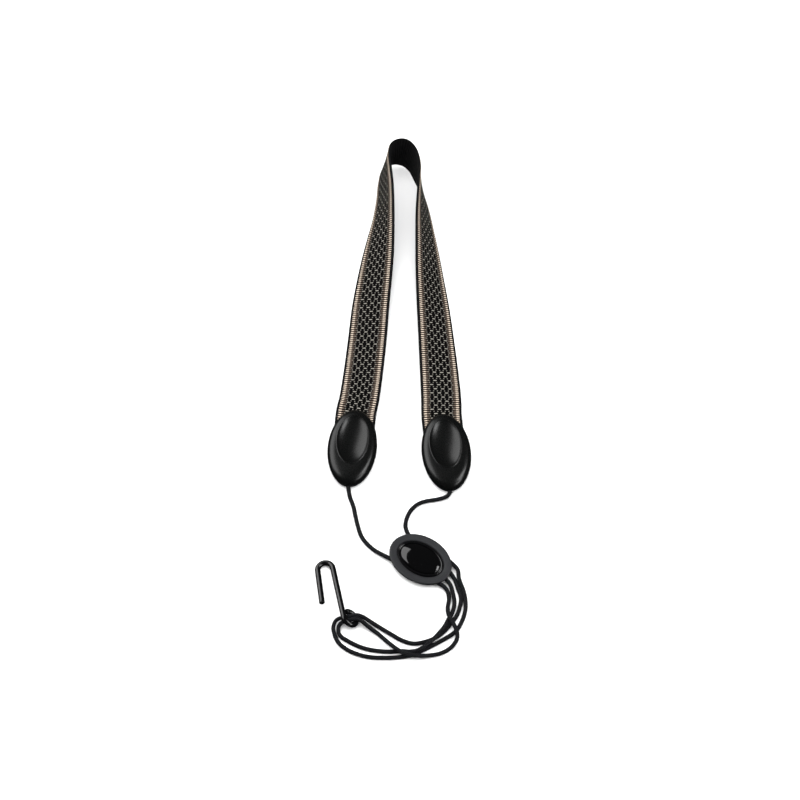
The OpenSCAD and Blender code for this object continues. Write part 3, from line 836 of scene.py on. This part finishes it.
lane_v, lane_f = cylinder(2.4, -40, 40, (0, 0, 0), "X")
lane_v = lane_v @ rot(4.36, "Z").T + np.array([0.0, 11.76, 4.4])
lanes = [(lane_v, lane_f), cylinder(2.5, -40, 40, (0, -14, 4.4), "X"),
         cylinder(2.2, -40, -17, (0, 1.8, 4.4), "X"), cylinder(2.2, -40, -17, (0, -5.8, 4.4), "X"),
         cylinder(6.2, 2.2, 6.6, (-17, -2, 0))]
base = ring_loft("slider_base_shell", [(1.75, 4.36), (1.6, 4.2), (1.75, 3.4), (2.2, 2.4), (2.8, 1.4), (3.4, 0.6), (3.9, 0.15), (4.4, 0.0)])
cut(base, lanes)
screws = [(12, -1), (-4, -1)]
cut(base, [cylinder(1.5, -1, 8, (x, y, 0)) for x, y in screws] + [cylinder(2.6, -1, 1.35, (x, y, 0)) for x, y in screws])
shade(base, 35)
moved(base, SLIDER_AT)
finish_piece(base, "slider", ("slider_base",), SATIN)
cover = ring_loft("slider_cover_flange", [(1.7, 4.42), (1.4, 4.6), (1.2, 5.2), (0.75, 5.75), (0.25, 6.1), (0.0, 6.6), (0.0, 7.6), (0.12, 8.1), (0.42, 8.45),
                                          (0.95, 8.6), (2.2, 8.58), (4.5, 8.45), (6.2, 8.32), (6.75, 8.2), (7.0, 7.9), (7.05, 7.14)])
cut(cover, lanes)
shade(cover, 35)
moved(cover, SLIDER_AT)
finish_piece(cover, "slider", ("slider_cover",), FLANGE)
ring = ring_loft("slider_bezel", [(7.95, 7.15), (7.95, 8.5), (8.1, 8.95), (8.45, 9.25), (8.95, 9.3), (9.6, 9.15), (10.0, 8.85), (10.2, 8.4), (10.25, 7.15)], close="ring")
shade(ring, 35)
moved(ring, SLIDER_AT)
finish_piece(ring, "slider", ("slider_ring",), COAT)


def badge_mesh():
    n, verts, rings = 144, [], 0
    prof = [(1.0, 7.14), (1.0, 8.25), (0.985, 8.75), (0.95, 9.25), (0.89, 9.75), (0.80, 10.25), (0.68, 10.72), (0.54, 11.1), (0.4, 11.36), (0.26, 11.52), (0.12, 11.6)]
    for f, z in prof:
        for k in range(n):
            a = 2 * math.pi * k / n
            verts.append((20.2 * f * math.cos(a), 12.7 * f * math.sin(a), z))
        rings += 1
    faces = loft_faces(rings, n)
    faces.append(tuple(range(n - 1, -1, -1)))
    verts.append((0, 0, 11.62))
    c = len(verts) - 1
    faces += [((rings - 1) * n + k, (rings - 1) * n + (k + 1) % n, c) for k in range(n)]
    v = np.array(verts)
    return v, fix_normals(v, faces)


v, f = badge_mesh()
badge = make("slider_badge_dome", at(SLIDER_AT, v), f)
shade(badge, 50)
finish_piece(badge, "slider", ("slider_badge",), GLOSS)

# ---------------------------------------------------------------- hook
HR = rot(101.4, "Z") @ rot(8, "Y") @ rot(-4, "X")
HP = np.array([-51, -228.5, 12.0])
lean = math.radians(42)
path = []
for a in np.radians(np.arange(286, 0, -4)):
    x, y = -7 * math.sin(a), -7 + 7 * math.cos(a)
    path.append((x, y * math.cos(lean), y * math.sin(lean)))
path += [(x, 0, 0) for x in np.linspace(0, 54, 28)]
path += [(54 + 7 * math.cos(a), 7 + 7 * math.sin(a), 0) for a in np.radians(np.arange(-86, 90, 4))]
leg = np.array([-math.cos(math.radians(4)), math.sin(math.radians(4)), 0])
path += [tuple(np.array([54, 14, 0]) + leg * x) for x in np.linspace(0.3, 34.2, 18)]
path = np.array(path)


def wire(name, p, r, n=32):
    """A round wire along a path, with rounded ends."""
    t = tangents(p)
    u = np.cross(t[0], [0.3, 0.2, 1.0])
    u /= np.linalg.norm(u)
    verts, rings = [], 0
    m = len(p)
    ends0 = [(-(1 - math.cos(a)) + 0.0, math.sin(a)) for a in np.radians([8, 25, 45, 65, 80])]
    frames = []
    for i in range(m):
        u = u - t[i] * np.dot(u, t[i])
        u /= np.linalg.norm(u)
        frames.append((u.copy(), np.cross(t[i], u)))
    rr = 1.0  # the rounding's length at each end
    for a in np.radians([10, 30, 50, 70]):
        c = p[0] - t[0] * rr * math.cos(a)
        k = r - rr + rr * math.sin(a)
        verts += [c + k * (math.cos(b) * frames[0][0] + math.sin(b) * frames[0][1]) for b in np.arange(n) / n * 2 * math.pi]
        rings += 1
    for i in range(m):
        verts += [p[i] + r * (math.cos(b) * frames[i][0] + math.sin(b) * frames[i][1]) for b in np.arange(n) / n * 2 * math.pi]
        rings += 1
    for a in np.radians([70, 50, 30, 10]):
        c = p[-1] + t[-1] * rr * math.cos(a)
        k = r - rr + rr * math.sin(a)
        verts += [c + k * (math.cos(b) * frames[-1][0] + math.sin(b) * frames[-1][1]) for b in np.arange(n) / n * 2 * math.pi]
        rings += 1
    faces = loft_faces(rings, n)
    faces.append(tuple(range(n - 1, -1, -1)))
    faces.append(tuple((rings - 1) * n + k for k in range(n)))
    v = np.array(verts)
    return v, fix_normals(v, faces)


v, f = wire("hook", path, 2.58)
hook = make("hook_coated", v @ HR.T + HP + LAY, f)
shade(hook, 60)
finish_piece(hook, "hook", ("hook",), COAT)

# ---------------------------------------------------------------- CAD nodes that stay in sight or inside
for name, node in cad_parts.items():
    node.data.materials.clear()
    if "cord" in name or "strand" in name or "bight" in name or "knot" in name:
        node.data.materials.append(CORE)
    elif "screw" in name or "pin" in name or "clamp" in name:
        node.data.materials.append(STEEL)
    elif name == "strap_webbing":
        node.data.materials.append(WEBBING)
    elif name == "strap_ribbon":
        node.data.materials.append(RIBBON)
    elif name == "slider_badge":
        node.data.materials.append(GLOSS)
    elif name == "hook":
        node.data.materials.append(COAT)
    else:
        node.data.materials.append(SATIN)

# ---------------------------------------------------------------- floor and light
t = Tree("floor_white")
nz = t.noise(3, 2, 0.5, t.where())
t.set(Base_Color=t.mix(nz, (0.90, 0.90, 0.90), (0.92, 0.92, 0.92)), Roughness=0.9, Specular_IOR_Level=0.0)
bpy.ops.mesh.primitive_plane_add(size=9, location=(0, 0, -0.0002))
floor = bpy.context.object
floor.name = "floor"
floor.data.materials.append(t.mat)
floor.visible_glossy = False  # dark undersides, as under a lamp head

world = bpy.data.worlds.new("studio")
scene.world = world
world.use_nodes = True
bg = world.node_tree.nodes["Background"]
bg.inputs[0].default_value = (1.0, 1.0, 1.0, 1.0)
bg.inputs[1].default_value = 0.03


def softbox(name, where, look, size, power, glossy=True, diffuse=True):
    li = bpy.data.lights.new(name, "AREA")
    li.shape = "RECTANGLE"
    li.size, li.size_y = size
    li.energy = power
    o = bpy.data.objects.new(name, li)
    scene.collection.objects.link(o)
    o.location = where
    o.rotation_mode = "QUATERNION"
    o.rotation_quaternion = (Vector(where) - Vector(look)).to_track_quat("Z", "Y")
    o.visible_glossy = glossy
    o.visible_diffuse = diffuse
    return o


# broad light for the table, which no polished surface mirrors
softbox("fill_top", (0.0, 0.1, 3.2), (0, 0, 0), (3.6, 3.6), 225, glossy=False)
# the boxes that the black parts mirror
softbox("box_left", (-1.75, 0.95, 1.55), (0, -0.1, 0), (3.0, 2.3), 58)
softbox("box_front", (1.65, -0.15, 1.75), (0, -0.1, 0), (1.1, 1.0), 20)
softbox("strip_front", (1.6, -1.05, 0.95), (0, -0.1, 0), (1.1, 0.4), 9)
